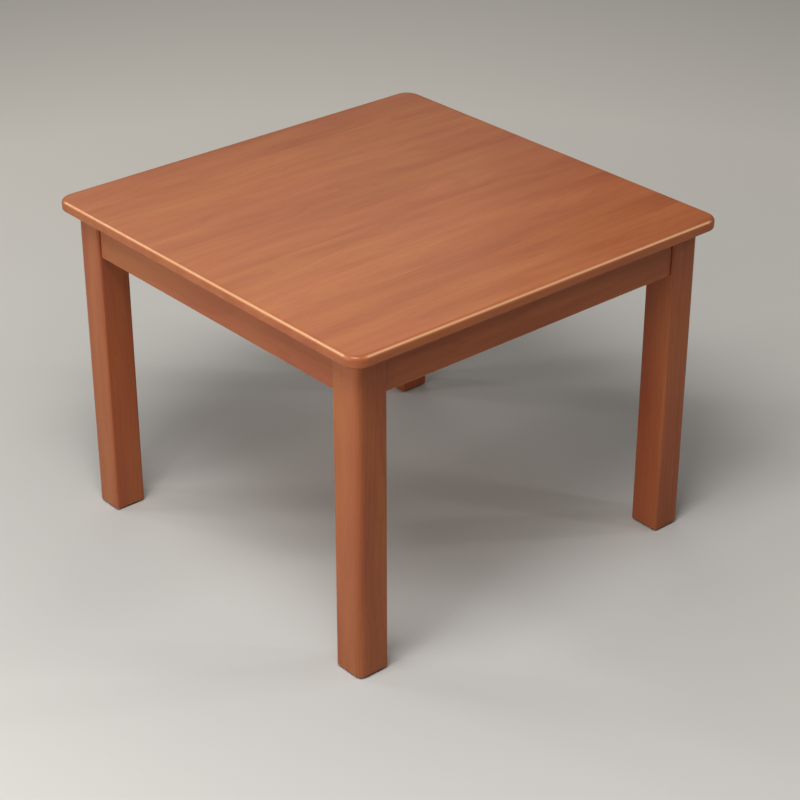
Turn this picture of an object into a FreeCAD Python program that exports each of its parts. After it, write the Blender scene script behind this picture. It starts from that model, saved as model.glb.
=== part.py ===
import FreeCAD, Part
import os

import Sketcher

# Square dining table of stained hardwood. Edge-glued boards make the top, which clips and a
# centre rail hold to a frame of four aprons. Each leg is drawn into its corner of the frame by
# two hanger bolts through a corner block.
# Millimetres. The origin is on the floor under the middle of the top, +Z is up, +X runs along
# the grain of the top, and -Y is the front.

SIZES = {
    # Top
    "top_length": 1000,
    "top_width": 1000,
    "table_height": 750,
    "top_thickness": 25,
    "top_overhang": 32,
    "top_corner_radius": 36,
    "top_upper_radius": 10,
    "top_lower_radius": 5,
    "board_count": 9,
    # Legs and their glides
    "leg_width": 75,
    "leg_corner_radius": 16,
    "leg_arris_radius": 6,
    "leg_foot_radius": 4,
    "leg_flat": 24,
    "glide_diameter": 28,
    "glide_height": 3,
    "glide_stem_diameter": 4,
    "glide_stem_length": 16,
    # Aprons
    "apron_height": 92,
    "apron_thickness": 22,
    "apron_setback": 6,
    "apron_edge_radius": 3,
    # Corner blocks
    "block_thickness": 25,
    "block_margin": 9,
    "block_gap": 6,
    # Hanger bolts, washers and nuts
    "bolt_diameter": 8,
    "bolt_grip": 45,
    "bolt_nose": 4,
    "bolt_spacing": 36,
    "washer_diameter": 20,
    "washer_thickness": 1.6,
    "nut_width": 13,
    "nut_height": 6.5,
    # Wood screws
    "screw_diameter": 4,
    "screw_tip": 4,
    "screw_point": 0.4,
    "screw_head_diameter": 8,
    "screw_head_height": 2.8,
    "recess_length": 4.4,
    "recess_width": 1,
    "recess_depth": 1.6,
    "block_screw_margin": 13,
    "block_screw_sink": 8,
    # Clips that hold the top to the aprons
    "clip_width": 20,
    "clip_thickness": 2,
    "clip_flange": 20,
    "clip_tongue": 7,
    "clip_drop": 12,
    "clip_inset": 180,
    "slot_height": 3,
    # Centre rail
    "rail_thickness": 24,
    "rail_height": 60,
    "rail_edge_radius": 3,
    "rail_screw_bearing": 18,
    "dowel_diameter": 10,
    "dowel_rail_depth": 22,
    "dowel_spacing": 30,
    # Fits, and the wood left between the end of a hole and the face beyond it
    "fit_clearance": 0.2,
    "tip_clearance": 1,
    "head_clearance": 1,
    "apron_skin": 7,
    "top_skin": 9,
}

# Heights, and places along the plan, as expressions of the sheet
UNDERSIDE = "(Sizes.table_height - Sizes.top_thickness)"
FRAME_MIDDLE = f"({UNDERSIDE} - Sizes.apron_height / 2)"
BOARD_WIDTH = "(Sizes.top_width / Sizes.board_count)"
LEG_X = "(Sizes.top_length / 2 - Sizes.top_overhang - Sizes.leg_width / 2)"
LEG_Y = "(Sizes.top_width / 2 - Sizes.top_overhang - Sizes.leg_width / 2)"
INNER_X = "(Sizes.top_length / 2 - Sizes.top_overhang - Sizes.apron_setback - Sizes.apron_thickness)"
INNER_Y = "(Sizes.top_width / 2 - Sizes.top_overhang - Sizes.apron_setback - Sizes.apron_thickness)"
APRON_X_LENGTH = f"(2 * {LEG_X} - Sizes.leg_width)"
APRON_Y_LENGTH = f"(2 * {LEG_Y} - Sizes.leg_width)"

# A corner's own frame has the leg's axis as its origin, and +X and +Y run into the table along
# the two aprons. A reach is measured from the leg's axis along the diagonal between them.
APRON_FACE = "(Sizes.apron_setback + Sizes.apron_thickness - Sizes.leg_width / 2)"
FLAT_REACH = "((Sizes.leg_width - Sizes.leg_flat) / sqrt(2))"
BLOCK_NEAR = f"({FLAT_REACH} + Sizes.block_gap)"
BLOCK_FAR = f"({BLOCK_NEAR} + Sizes.block_thickness)"
BLOCK_HEIGHT = "(Sizes.apron_height - 2 * Sizes.block_margin)"
BOLT_LENGTH = (
    "(Sizes.bolt_grip + Sizes.block_gap + Sizes.block_thickness"
    " + Sizes.washer_thickness + Sizes.nut_height + Sizes.bolt_nose)"
)
BOLT_START = f"({FLAT_REACH} - Sizes.bolt_grip)"
BOLT_HOLE_RADIUS = "(Sizes.bolt_diameter / 2 + Sizes.fit_clearance)"
BOLT_HEIGHTS = (
    f"({FRAME_MIDDLE} - Sizes.bolt_spacing / 2)",
    f"({FRAME_MIDDLE} + Sizes.bolt_spacing / 2)",
)

# Screws of the corner blocks: their line on the apron, the wood under the head, and the heights
SCREW_LINE = f"(({BLOCK_NEAR} + {BLOCK_FAR}) / sqrt(2) - {APRON_FACE})"
SCREW_BEARING = "(Sizes.block_thickness / sqrt(2) - Sizes.block_screw_sink)"
SCREW_GRIP = "(Sizes.apron_thickness - Sizes.apron_skin)"
SCREW_HOLE_RADIUS = "(Sizes.screw_diameter / 2 + Sizes.fit_clearance)"
HEAD_HOLE_RADIUS = "(Sizes.screw_head_diameter / 2 + Sizes.head_clearance)"
SCREW_HEIGHTS = (
    f"({FRAME_MIDDLE} - {BLOCK_HEIGHT} / 2 + Sizes.block_screw_margin)",
    f"({FRAME_MIDDLE} + {BLOCK_HEIGHT} / 2 - Sizes.block_screw_margin)",
)

# Screws into the top, and the dowels of the centre rail
TOP_GRIP = "(Sizes.top_thickness - Sizes.top_skin)"
CLIP_SCREW_Y = "(Sizes.fit_clearance + Sizes.clip_thickness / 2 + Sizes.clip_flange / 2)"
RAIL_MIDDLE = f"({UNDERSIDE} - Sizes.rail_height / 2)"
DOWEL_GRIP = "(Sizes.apron_thickness - Sizes.apron_skin)"
DOWEL_HOLE_RADIUS = "(Sizes.dowel_diameter / 2 + Sizes.fit_clearance)"
DOWEL_HEIGHTS = (
    f"({RAIL_MIDDLE} - Sizes.dowel_spacing / 2)",
    f"({RAIL_MIDDLE} + Sizes.dowel_spacing / 2)",
)

# Each corner: its turn about +Z in degrees, and where its leg's axis stands
CORNERS = {
    "front_left": (0, f"-{LEG_X}", f"-{LEG_Y}"),
    "front_right": (90, LEG_X, f"-{LEG_Y}"),
    "back_right": (180, LEG_X, LEG_Y),
    "back_left": (270, f"-{LEG_X}", LEG_Y),
}

# Each side: the turn of its apron about +Z, the apron's length, and the middle of its inner face
SIDES = {
    "front": (0, APRON_X_LENGTH, "0", f"-{INNER_Y}"),
    "right": (90, APRON_Y_LENGTH, INNER_X, "0"),
    "back": (180, APRON_X_LENGTH, "0", INNER_Y),
    "left": (270, APRON_Y_LENGTH, f"-{INNER_X}", "0"),
}
RAILED_SIDES = ("front", "back")

ALONG_X = FreeCAD.Vector(1, 0, 0)
ALONG_Y = FreeCAD.Vector(0, 1, 0)
ALONG_Z = FreeCAD.Vector(0, 0, 1)
DIAGONAL = FreeCAD.Vector(1, 1, 0)
UPRIGHT = FreeCAD.Rotation()
ON_DIAGONAL = FreeCAD.Rotation(ALONG_Z, DIAGONAL)
SQUARE_TO_DIAGONAL = FreeCAD.Rotation(ALONG_Z, 45)
LEVEL_TOLERANCE = 1e-6

doc = FreeCAD.newDocument("SquareDiningTable")
nodes = []


def fill_sheet():
    """Write the driving dimensions into the sheet, one alias to a row."""
    sheet = doc.addObject("Spreadsheet::Sheet", "Sizes")
    for row, (alias, value) in enumerate(SIZES.items(), start=1):
        sheet.set(f"A{row}", alias)
        sheet.set(f"B{row}", str(value))
        sheet.setAlias(f"B{row}", alias)
    doc.recompute()


def bind(piece, **expressions):
    """Tie properties of a piece to the sheet."""
    for name, expression in expressions.items():
        piece.setExpression(name, expression)
    return piece


def place(piece, x="0", y="0", z="0", rotation=UPRIGHT):
    """Put a piece at a place worked out from the sheet, turned by a fixed rotation."""
    piece.Placement = FreeCAD.Placement(FreeCAD.Vector(), rotation)
    for axis, expression in zip("xyz", (x, y, z)):
        piece.setExpression(f"Placement.Base.{axis}", expression)
    return piece


def place_at_corner(piece, corner):
    """Carry a piece from a corner's own frame to that corner of the table."""
    turn, x, y = CORNERS[corner]
    return place(piece, x, y, rotation=FreeCAD.Rotation(ALONG_Z, turn))


def place_at_side(piece, side):
    """Carry a piece from an apron's own frame to that side of the table."""
    turn, _, x, y = SIDES[side]
    return place(piece, x, y, rotation=FreeCAD.Rotation(ALONG_Z, turn))


def node(piece, name):
    """Name a finished sub-part and list it for writing."""
    piece.Label = name
    nodes.append(piece)
    return piece


def box(name, length, width, height, **where):
    """A block with its lowest corner at the given place."""
    piece = doc.addObject("Part::Box", name)
    bind(piece, Length=length, Width=width, Height=height)
    return place(piece, **where)


def cylinder(name, radius, height, **where):
    """A round bar that starts at the given place."""
    piece = doc.addObject("Part::Cylinder", name)
    bind(piece, Radius=radius, Height=height)
    return place(piece, **where)


def diagonal_box(name, reach, depth, breadth, height, z):
    """A block square to a corner's diagonal, from the given reach inwards."""
    across = f"({reach} + {breadth} / 2) / sqrt(2)"
    along = f"({reach} - {breadth} / 2) / sqrt(2)"
    return box(name, depth, breadth, height, x=across, y=along, z=z, rotation=SQUARE_TO_DIAGONAL)


def diagonal_cylinder(name, radius, reach, length, z):
    """A round bar along a corner's diagonal, from the given reach inwards."""
    step = f"{reach} / sqrt(2)"
    return cylinder(name, radius, length, x=step, y=step, z=z, rotation=ON_DIAGONAL)


def group(name, pieces):
    """Several separate solids held as one object."""
    piece = doc.addObject("Part::Compound", name)
    piece.Links = pieces
    return piece


def fuse(name, pieces):
    """One solid joined from several."""
    piece = doc.addObject("Part::MultiFuse", name)
    piece.Shapes = pieces
    return piece


def cut(name, base, tools):
    """A piece with the tools' shapes taken out of it."""
    piece = doc.addObject("Part::Cut", name)
    piece.Base = base
    piece.Tool = group(f"{name}_tools", tools)
    return piece


def common(name, base, tool):
    """The part of a piece that lies inside another."""
    piece = doc.addObject("Part::Common", name)
    piece.Base = base
    piece.Tool = tool
    return piece


def centred_rectangle(body, length, width):
    """A sketch of a rectangle centred on the body's origin, on its XY plane."""
    sketch = body.newObject("Sketcher::SketchObject", f"{body.Name}_section")
    plane = next(part for part in body.Origin.OriginFeatures if part.Role == "XY_Plane")
    sketch.AttachmentSupport = [(plane, "")]
    sketch.MapMode = "FlatFace"
    corners = [FreeCAD.Vector(x, y, 0) for x, y in ((-1, -1), (1, -1), (1, 1), (-1, 1))]
    for start, end in zip(corners, corners[1:] + corners[:1]):
        sketch.addGeometry(Part.LineSegment(start, end))
    for side in range(4):
        sketch.addConstraint(Sketcher.Constraint("Coincident", side, 2, (side + 1) % 4, 1))
        sketch.addConstraint(Sketcher.Constraint("Vertical" if side % 2 else "Horizontal", side))
    sketch.addConstraint(Sketcher.Constraint("Symmetric", 0, 1, 1, 2, -1, 1))
    for name, kind, side, expression in (
        ("length", "DistanceX", 0, length),
        ("width", "DistanceY", 1, width),
    ):
        index = sketch.addConstraint(Sketcher.Constraint(kind, side, 1, side, 2, 2))
        sketch.renameConstraint(index, name)
        sketch.setExpression(f"Constraints.{name}", expression)
    return sketch


def padded_body(name, length, width, height):
    """A body whose first feature is a block, centred in plan on the body's origin."""
    body = doc.addObject("PartDesign::Body", name)
    sketch = centred_rectangle(body, length, width)
    pad = body.newObject("PartDesign::Pad", f"{name}_pad")
    pad.Profile = sketch
    bind(pad, Length=height)
    doc.recompute()
    return body


def round_edges(body, chosen, radius):
    """Round the edges of a body that the given test picks."""
    base = body.Tip
    picked = [f"Edge{i}" for i, edge in enumerate(base.Shape.Edges, start=1) if chosen(edge)]
    fillet = body.newObject("PartDesign::Fillet", f"{body.Name}_round")
    fillet.Base = (base, picked)
    bind(fillet, Radius=radius)
    doc.recompute()


def is_upright(edge):
    """True for an edge that runs up the piece."""
    return edge.BoundBox.ZLength > LEVEL_TOLERANCE


def at_level(height):
    """A test for the edges that lie flat at a height of the body's own frame."""

    def lies_there(edge):
        bounds = edge.BoundBox
        return abs(bounds.ZMin - height) < LEVEL_TOLERANCE and abs(bounds.ZMax - height) < LEVEL_TOLERANCE

    return lies_there


def along_bottom(edge):
    """True for an edge that runs lengthwise along the bottom of a bar."""
    return at_level(0)(edge) and edge.BoundBox.XLength > edge.BoundBox.YLength


def outer_end(edge):
    """True for an upright edge on the -Y face of a bar."""
    return is_upright(edge) and edge.BoundBox.YMax < 0


def outer_corner(edge):
    """True for an upright edge at the outer corner of a corner's own frame."""
    return is_upright(edge) and edge.BoundBox.XMax < 0 and edge.BoundBox.YMax < 0


def other_corners(edge):
    """True for an upright edge at any of the other three corners."""
    return is_upright(edge) and not outer_corner(edge)


def screw(name, bearing, grip, **where):
    """A pan-head wood screw along +Z: the head's seat at zero, the point at bearing plus grip."""
    length = f"({bearing} + {grip})"
    head_top = "-Sizes.screw_head_height"
    shank = cylinder(f"{name}_shank", "Sizes.screw_diameter / 2", f"{length} - Sizes.screw_tip")
    tip = doc.addObject("Part::Cone", f"{name}_tip")
    bind(tip, Radius1="Sizes.screw_diameter / 2", Radius2="Sizes.screw_point / 2", Height="Sizes.screw_tip")
    place(tip, z=f"{length} - Sizes.screw_tip")
    head = cylinder(f"{name}_head", "Sizes.screw_head_diameter / 2", "Sizes.screw_head_height", z=head_top)
    slots = []
    for turn, (long_way, short_way) in enumerate((("x", "y"), ("y", "x"))):
        lengths = {long_way: "Sizes.recess_length", short_way: "Sizes.recess_width"}
        slots.append(
            box(
                f"{name}_recess_{turn}",
                lengths["x"],
                lengths["y"],
                "Sizes.recess_depth",
                x=f"-{lengths['x']} / 2",
                y=f"-{lengths['y']} / 2",
                z=head_top,
            )
        )
    return place(cut(name, fuse(f"{name}_blank", [shank, tip, head]), slots), **where)


def make_leg(corner):
    """A straight leg, well rounded at its outer corner, with a flat inside the frame for its bolts."""
    blank = padded_body(
        f"leg_blank_{corner}", "Sizes.leg_width", "Sizes.leg_width", f"{UNDERSIDE} - Sizes.glide_height"
    )
    round_edges(blank, outer_corner, "Sizes.leg_corner_radius")
    round_edges(blank, other_corners, "Sizes.leg_arris_radius")
    round_edges(blank, at_level(0), "Sizes.leg_foot_radius")
    place(blank, z="Sizes.glide_height")
    flat = diagonal_box(
        f"leg_flat_{corner}",
        FLAT_REACH,
        "Sizes.leg_width",
        "2 * Sizes.leg_width",
        "Sizes.apron_height",
        f"{UNDERSIDE} - Sizes.apron_height",
    )
    holes = [
        diagonal_cylinder(
            f"leg_bolt_hole_{corner}_{level}",
            BOLT_HOLE_RADIUS,
            f"({BOLT_START} - Sizes.tip_clearance)",
            BOLT_LENGTH,
            height,
        )
        for level, height in enumerate(BOLT_HEIGHTS)
    ]
    stem_hole = cylinder(
        f"leg_stem_hole_{corner}",
        "Sizes.glide_stem_diameter / 2 + Sizes.fit_clearance",
        "Sizes.glide_height + Sizes.glide_stem_length + Sizes.tip_clearance",
    )
    leg = cut(f"leg_cut_{corner}", blank, [flat, *holes, stem_hole])
    node(place_at_corner(leg, corner), f"leg_{corner}")


def make_glide(corner):
    """A plastic glide under the leg, with a stem that is driven into it."""
    disc = cylinder(f"glide_disc_{corner}", "Sizes.glide_diameter / 2", "Sizes.glide_height")
    stem = cylinder(
        f"glide_stem_{corner}",
        "Sizes.glide_stem_diameter / 2",
        "Sizes.glide_height + Sizes.glide_stem_length",
    )
    glide = fuse(f"glide_{corner}", [disc, stem])
    node(place_at_corner(glide, corner), f"foot_glide_{corner}")


def block_screw_places():
    """Where a corner block's screws bear: two on each apron, driven outwards into it."""
    seat = f"({APRON_FACE} + {SCREW_BEARING})"
    places = []
    for height in SCREW_HEIGHTS:
        for x, y, outwards in ((SCREW_LINE, seat, -ALONG_Y), (seat, SCREW_LINE, -ALONG_X)):
            places.append({"x": x, "y": y, "z": height, "rotation": FreeCAD.Rotation(ALONG_Z, outwards)})
    return places


def make_corner_block(corner):
    """A mitred block across the corner of the frame, glued and screwed to both aprons."""
    bottom = f"({FRAME_MIDDLE} - {BLOCK_HEIGHT} / 2)"
    breadth = f"(2 * ({BLOCK_FAR} - {APRON_FACE} * sqrt(2) + Sizes.block_thickness))"
    slab = diagonal_box(
        f"block_slab_{corner}", BLOCK_NEAR, "Sizes.block_thickness", breadth, BLOCK_HEIGHT, bottom
    )
    inside = box(
        f"block_space_{corner}", breadth, breadth, BLOCK_HEIGHT, x=APRON_FACE, y=APRON_FACE, z=bottom
    )
    holes = []
    for level, height in enumerate(BOLT_HEIGHTS):
        name = f"block_bolt_hole_{corner}_{level}"
        holes.append(diagonal_cylinder(name, BOLT_HOLE_RADIUS, BOLT_START, BOLT_LENGTH, height))
    for index, where in enumerate(block_screw_places()):
        name = f"block_screw_hole_{corner}_{index}"
        holes.append(cylinder(name, SCREW_HOLE_RADIUS, SCREW_BEARING, **where))
        driven = where["rotation"].multVec(ALONG_Z)
        open_way = {**where, "rotation": FreeCAD.Rotation(ALONG_Z, -driven)}
        name = f"block_head_hole_{corner}_{index}"
        holes.append(cylinder(name, HEAD_HOLE_RADIUS, "2 * Sizes.block_thickness", **open_way))
    block = cut(f"block_{corner}", common(f"block_blank_{corner}", slab, inside), holes)
    node(place_at_corner(block, corner), f"corner_block_{corner}")


def corner_fasteners():
    """The fasteners of one corner in its own frame, kind by kind."""
    bolts = []
    washers = []
    nuts = []
    washer_top = f"({BLOCK_FAR} + Sizes.washer_thickness)"
    for level, height in enumerate(BOLT_HEIGHTS):
        bolts.append(
            diagonal_cylinder(f"bolt_{level}", "Sizes.bolt_diameter / 2", BOLT_START, BOLT_LENGTH, height)
        )
        clear = diagonal_cylinder(f"bolt_clear_{level}", BOLT_HOLE_RADIUS, BOLT_START, BOLT_LENGTH, height)
        disc = diagonal_cylinder(
            f"washer_disc_{level}", "Sizes.washer_diameter / 2", BLOCK_FAR, "Sizes.washer_thickness", height
        )
        washers.append(cut(f"washer_{level}", disc, [clear]))
        hexagon = doc.addObject("Part::Prism", f"nut_hexagon_{level}")
        hexagon.Polygon = 6
        bind(hexagon, Circumradius="Sizes.nut_width / sqrt(3)", Height="Sizes.nut_height")
        step = f"{washer_top} / sqrt(2)"
        place(hexagon, step, step, height, ON_DIAGONAL)
        nuts.append(cut(f"nut_{level}", hexagon, [clear]))
    screws = [
        screw(f"block_screw_{index}", SCREW_BEARING, SCREW_GRIP, **where)
        for index, where in enumerate(block_screw_places())
    ]
    return {"hanger_bolts": bolts, "bolt_washers": washers, "bolt_nuts": nuts, "block_screws": screws}


def clip_places(side):
    """Where along an apron's own length its two clips sit."""
    half = f"({SIDES[side][1]} / 2 - Sizes.clip_inset)"
    return (f"-{half}", half)


def make_apron(side):
    """An apron between two legs, with a saw slot for the clips along its inner face."""
    length = SIDES[side][1]
    bottom = f"({UNDERSIDE} - Sizes.apron_height)"
    blank = padded_body(f"apron_blank_{side}", length, "Sizes.apron_thickness", "Sizes.apron_height")
    round_edges(blank, lambda edge: along_bottom(edge) or outer_end(edge), "Sizes.apron_edge_radius")
    place(blank, y="-Sizes.apron_thickness / 2", z=bottom)
    slot_depth = "(Sizes.clip_tongue + Sizes.tip_clearance)"
    cuts = [
        box(
            f"apron_slot_{side}",
            length,
            slot_depth,
            "Sizes.slot_height",
            x=f"-{length} / 2",
            y=f"-{slot_depth}",
            z=f"{UNDERSIDE} - Sizes.clip_drop - Sizes.slot_height",
        )
    ]
    outwards = FreeCAD.Rotation(ALONG_Z, -ALONG_Y)
    line = f"({length} / 2 + Sizes.leg_width / 2 - {SCREW_LINE})"
    for end, x in (("start", f"-{line}"), ("end", line)):
        for level, height in enumerate(SCREW_HEIGHTS):
            depth = f"({SCREW_GRIP} + Sizes.tip_clearance)"
            name = f"apron_screw_hole_{side}_{end}_{level}"
            cuts.append(cylinder(name, SCREW_HOLE_RADIUS, depth, x=x, z=height, rotation=outwards))
    if side in RAILED_SIDES:
        for level, height in enumerate(DOWEL_HEIGHTS):
            depth = f"({DOWEL_GRIP} + Sizes.tip_clearance)"
            name = f"apron_dowel_hole_{side}_{level}"
            cuts.append(cylinder(name, DOWEL_HOLE_RADIUS, depth, z=height, rotation=outwards))
    apron = cut(f"apron_cut_{side}", blank, cuts)
    node(place_at_side(apron, side), f"apron_{side}")


def make_clips(side):
    """Two bent steel clips, whose tongues catch in the apron's slot, and their screws."""
    clips = []
    screws = []
    gap = "Sizes.fit_clearance"
    tongue_bottom = f"({UNDERSIDE} - Sizes.clip_drop - Sizes.clip_thickness)"
    flange_bottom = f"({UNDERSIDE} - Sizes.clip_thickness)"
    for index, middle in enumerate(clip_places(side)):
        name = f"clip_{side}_{index}"
        edge = f"{middle} - Sizes.clip_width / 2"
        tongue_length = f"(Sizes.clip_tongue + {gap} + Sizes.clip_thickness)"
        tongue = box(
            f"{name}_tongue",
            "Sizes.clip_width",
            tongue_length,
            "Sizes.clip_thickness",
            x=edge,
            y="-Sizes.clip_tongue",
            z=tongue_bottom,
        )
        web = box(
            f"{name}_web",
            "Sizes.clip_width",
            "Sizes.clip_thickness",
            "Sizes.clip_drop + Sizes.clip_thickness",
            x=edge,
            y=gap,
            z=tongue_bottom,
        )
        flange = box(
            f"{name}_flange",
            "Sizes.clip_width",
            "Sizes.clip_flange",
            "Sizes.clip_thickness",
            x=edge,
            y=gap,
            z=flange_bottom,
        )
        screw_place = {"x": middle, "y": CLIP_SCREW_Y, "z": flange_bottom}
        hole = cylinder(f"{name}_hole", SCREW_HOLE_RADIUS, "Sizes.clip_thickness", **screw_place)
        clips.append(cut(name, fuse(f"{name}_strip", [tongue, web, flange]), [hole]))
        screws.append(screw(f"{name}_screw", "Sizes.clip_thickness", TOP_GRIP, **screw_place))
    node(place_at_side(group(f"clips_{side}", clips), side), f"top_clips_{side}")
    node(place_at_side(group(f"clip_screw_group_{side}", screws), side), f"clip_screws_{side}")


def rail_screw_rows():
    """The middles across the grain of the boards that the centre rail is screwed to."""
    inner_boards = range(1, int(doc.Sizes.board_count) - 1)
    return [f"({board} + 0.5 - Sizes.board_count / 2) * {BOARD_WIDTH}" for board in inner_boards]


def make_centre_rail():
    """A rail across the grain under the top, dowelled to the front and back aprons."""
    length = f"(2 * {INNER_Y})"
    bottom = f"({UNDERSIDE} - Sizes.rail_height)"
    seat = f"({UNDERSIDE} - Sizes.rail_screw_bearing)"
    blank = padded_body("rail_blank", length, "Sizes.rail_thickness", "Sizes.rail_height")
    round_edges(blank, along_bottom, "Sizes.rail_edge_radius")
    place(blank, z=bottom, rotation=FreeCAD.Rotation(ALONG_X, ALONG_Y))
    cuts = []
    screws = []
    bearing = "Sizes.rail_screw_bearing"
    head_depth = f"Sizes.rail_height - {bearing}"
    for index, y in enumerate(rail_screw_rows()):
        cuts.append(cylinder(f"rail_screw_hole_{index}", SCREW_HOLE_RADIUS, bearing, y=y, z=seat))
        cuts.append(cylinder(f"rail_head_hole_{index}", HEAD_HOLE_RADIUS, head_depth, y=y, z=bottom))
        screws.append(screw(f"rail_screw_{index}", bearing, TOP_GRIP, y=y, z=seat))
    dowels = []
    for end, (start, outwards) in enumerate(((f"-{INNER_Y}", -ALONG_Y), (INNER_Y, ALONG_Y))):
        inwards = FreeCAD.Rotation(ALONG_Z, -outwards)
        sign = "+" if end == 0 else "-"
        for level, height in enumerate(DOWEL_HEIGHTS):
            hole_depth = "(Sizes.dowel_rail_depth + Sizes.tip_clearance)"
            name = f"rail_dowel_hole_{end}_{level}"
            cuts.append(cylinder(name, DOWEL_HOLE_RADIUS, hole_depth, y=start, z=height, rotation=inwards))
            dowels.append(
                cylinder(
                    f"rail_dowel_{end}_{level}",
                    "Sizes.dowel_diameter / 2",
                    f"Sizes.dowel_rail_depth + {DOWEL_GRIP}",
                    y=f"{start} {sign} Sizes.dowel_rail_depth",
                    z=height,
                    rotation=FreeCAD.Rotation(ALONG_Z, outwards),
                )
            )
    node(cut("rail_cut", blank, cuts), "centre_rail")
    node(group("rail_dowel_group", dowels), "rail_dowels")
    node(group("rail_screw_group", screws), "rail_screws")


def top_screw_holes():
    """The pilot holes in the underside of the top, for the clips and the centre rail."""
    depth = f"({TOP_GRIP} + Sizes.tip_clearance)"
    tools = []
    for side in SIDES:
        holes = []
        for index, x in enumerate(clip_places(side)):
            name = f"top_clip_hole_{side}_{index}"
            holes.append(cylinder(name, SCREW_HOLE_RADIUS, depth, x=x, y=CLIP_SCREW_Y, z=UNDERSIDE))
        tools.append(place_at_side(group(f"top_clip_holes_{side}", holes), side))
    for index, y in enumerate(rail_screw_rows()):
        tools.append(cylinder(f"top_rail_hole_{index}", SCREW_HOLE_RADIUS, depth, y=y, z=UNDERSIDE))
    return tools


def make_top():
    """The top: a blank with rounded corners and edges, ripped into its edge-glued boards."""
    blank = padded_body("top_blank", "Sizes.top_length", "Sizes.top_width", "Sizes.top_thickness")
    round_edges(blank, is_upright, "Sizes.top_corner_radius")
    round_edges(blank, at_level(doc.Sizes.top_thickness), "Sizes.top_upper_radius")
    round_edges(blank, at_level(0), "Sizes.top_lower_radius")
    place(blank, z=UNDERSIDE)
    drilled = cut("top_drilled", blank, top_screw_holes())
    for board in range(int(doc.Sizes.board_count)):
        strip = box(
            f"board_strip_{board + 1}",
            "Sizes.top_length",
            BOARD_WIDTH,
            "Sizes.top_thickness",
            x="-Sizes.top_length / 2",
            y=f"{board} * {BOARD_WIDTH} - Sizes.top_width / 2",
            z=UNDERSIDE,
        )
        node(common(f"board_{board + 1}", drilled, strip), f"top_board_{board + 1}")


def check_document():
    """Stop if any object failed, or if a sub-part is empty or not valid."""
    failed = [piece.Name for piece in doc.Objects if {"Invalid", "Error"} & set(piece.State)]
    if failed:
        raise RuntimeError(f"failed objects: {failed}")
    for piece in nodes:
        if piece.Shape.isNull() or not piece.Shape.isValid() or not piece.Shape.Solids:
            raise RuntimeError(f"bad sub-part: {piece.Label}")


def write_parts():
    """Write each sub-part to its own file."""
    os.makedirs("parts", exist_ok=True)
    for piece in nodes:
        piece.Shape.exportStep(f"parts/{piece.Label}.step")
        print(piece.Label, len(piece.Shape.Solids), round(piece.Shape.Volume))


fill_sheet()
make_top()
for side_name in SIDES:
    make_apron(side_name)
    make_clips(side_name)
make_centre_rail()
fasteners = corner_fasteners()
for corner_name in CORNERS:
    make_leg(corner_name)
    make_glide(corner_name)
    make_corner_block(corner_name)
    for kind, pieces in fasteners.items():
        fastener_group = group(f"{kind}_group_{corner_name}", pieces)
        node(place_at_corner(fastener_group, corner_name), f"{kind}_{corner_name}")
doc.recompute()
check_document()
write_parts()
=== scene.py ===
"""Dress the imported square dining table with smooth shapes, stained wood, plated fittings and a studio.

All sizes are in millimetres and become metres when a mesh is made. +Z is up, the origin is on the floor
under the middle of the top, +X runs along the grain of the top and -Y is the front.
"""

import logging
import math
from collections.abc import Iterator, Sequence
from dataclasses import dataclass
from enum import Enum
from typing import Any

import bmesh
import bpy
import numpy as np
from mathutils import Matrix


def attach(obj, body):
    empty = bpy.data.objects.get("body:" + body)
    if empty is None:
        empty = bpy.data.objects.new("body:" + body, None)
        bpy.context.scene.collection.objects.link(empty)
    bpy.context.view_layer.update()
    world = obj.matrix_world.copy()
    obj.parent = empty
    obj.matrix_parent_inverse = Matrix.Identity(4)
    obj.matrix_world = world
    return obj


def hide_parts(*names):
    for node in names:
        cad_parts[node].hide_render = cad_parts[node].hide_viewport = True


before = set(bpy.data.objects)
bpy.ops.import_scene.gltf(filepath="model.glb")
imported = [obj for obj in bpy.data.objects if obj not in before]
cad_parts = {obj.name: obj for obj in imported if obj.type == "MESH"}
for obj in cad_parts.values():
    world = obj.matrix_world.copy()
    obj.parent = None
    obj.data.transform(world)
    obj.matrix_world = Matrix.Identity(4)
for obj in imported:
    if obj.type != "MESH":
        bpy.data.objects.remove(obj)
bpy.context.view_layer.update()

MM = 0.001
BODY = "root"
# Points closer than this many metres are one, and edges that turn more than this stay sharp.
SAME_POINT = 1e-6
SHARP_TURN = math.radians(32)
# Where the four shades of a wood, and the two of a cloudy finish, lie on a ramp, from dark to light.
SHADE_PLACES = (0.0, 0.36, 0.66, 1.0)
CLOUD_PLACES = (0.3, 0.7)
# The one of Blender's four tone curves that acts on all three colours.
COMBINED_CURVE = 3
log = logging.getLogger("dining_table")


class GrainAxis(Enum):
    """The way the grain of a piece runs, as the turn that lays that axis on the X axis of the log."""

    ALONG_X = (0.0, 0.0, 0.0)
    ALONG_Y = (0.0, 0.0, -math.pi / 2)
    UPRIGHT = (0.0, math.pi / 2, 0.0)
    RISING = (0.0, 0.0, -math.pi / 4)
    FALLING = (0.0, 0.0, math.pi / 4)


class Corner(Enum):
    """The corners of the table, with the signs of their X and Y."""

    FRONT_LEFT = (-1, -1)
    FRONT_RIGHT = (1, -1)
    BACK_RIGHT = (1, 1)
    BACK_LEFT = (-1, 1)

    @property
    def node_end(self) -> str:
        """The corner's name as the CAD nodes end."""
        return self.name.lower()


class Side(Enum):
    """The sides of the table, as quarter turns from the front."""

    FRONT = 0
    RIGHT = 1
    BACK = 2
    LEFT = 3

    @property
    def node_end(self) -> str:
        """The side's name as the CAD nodes end."""
        return self.name.lower()

    @property
    def grain(self) -> GrainAxis:
        """The grain of a rail on this side runs along it."""
        return GrainAxis.ALONG_Y if self.value % 2 else GrainAxis.ALONG_X


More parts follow.
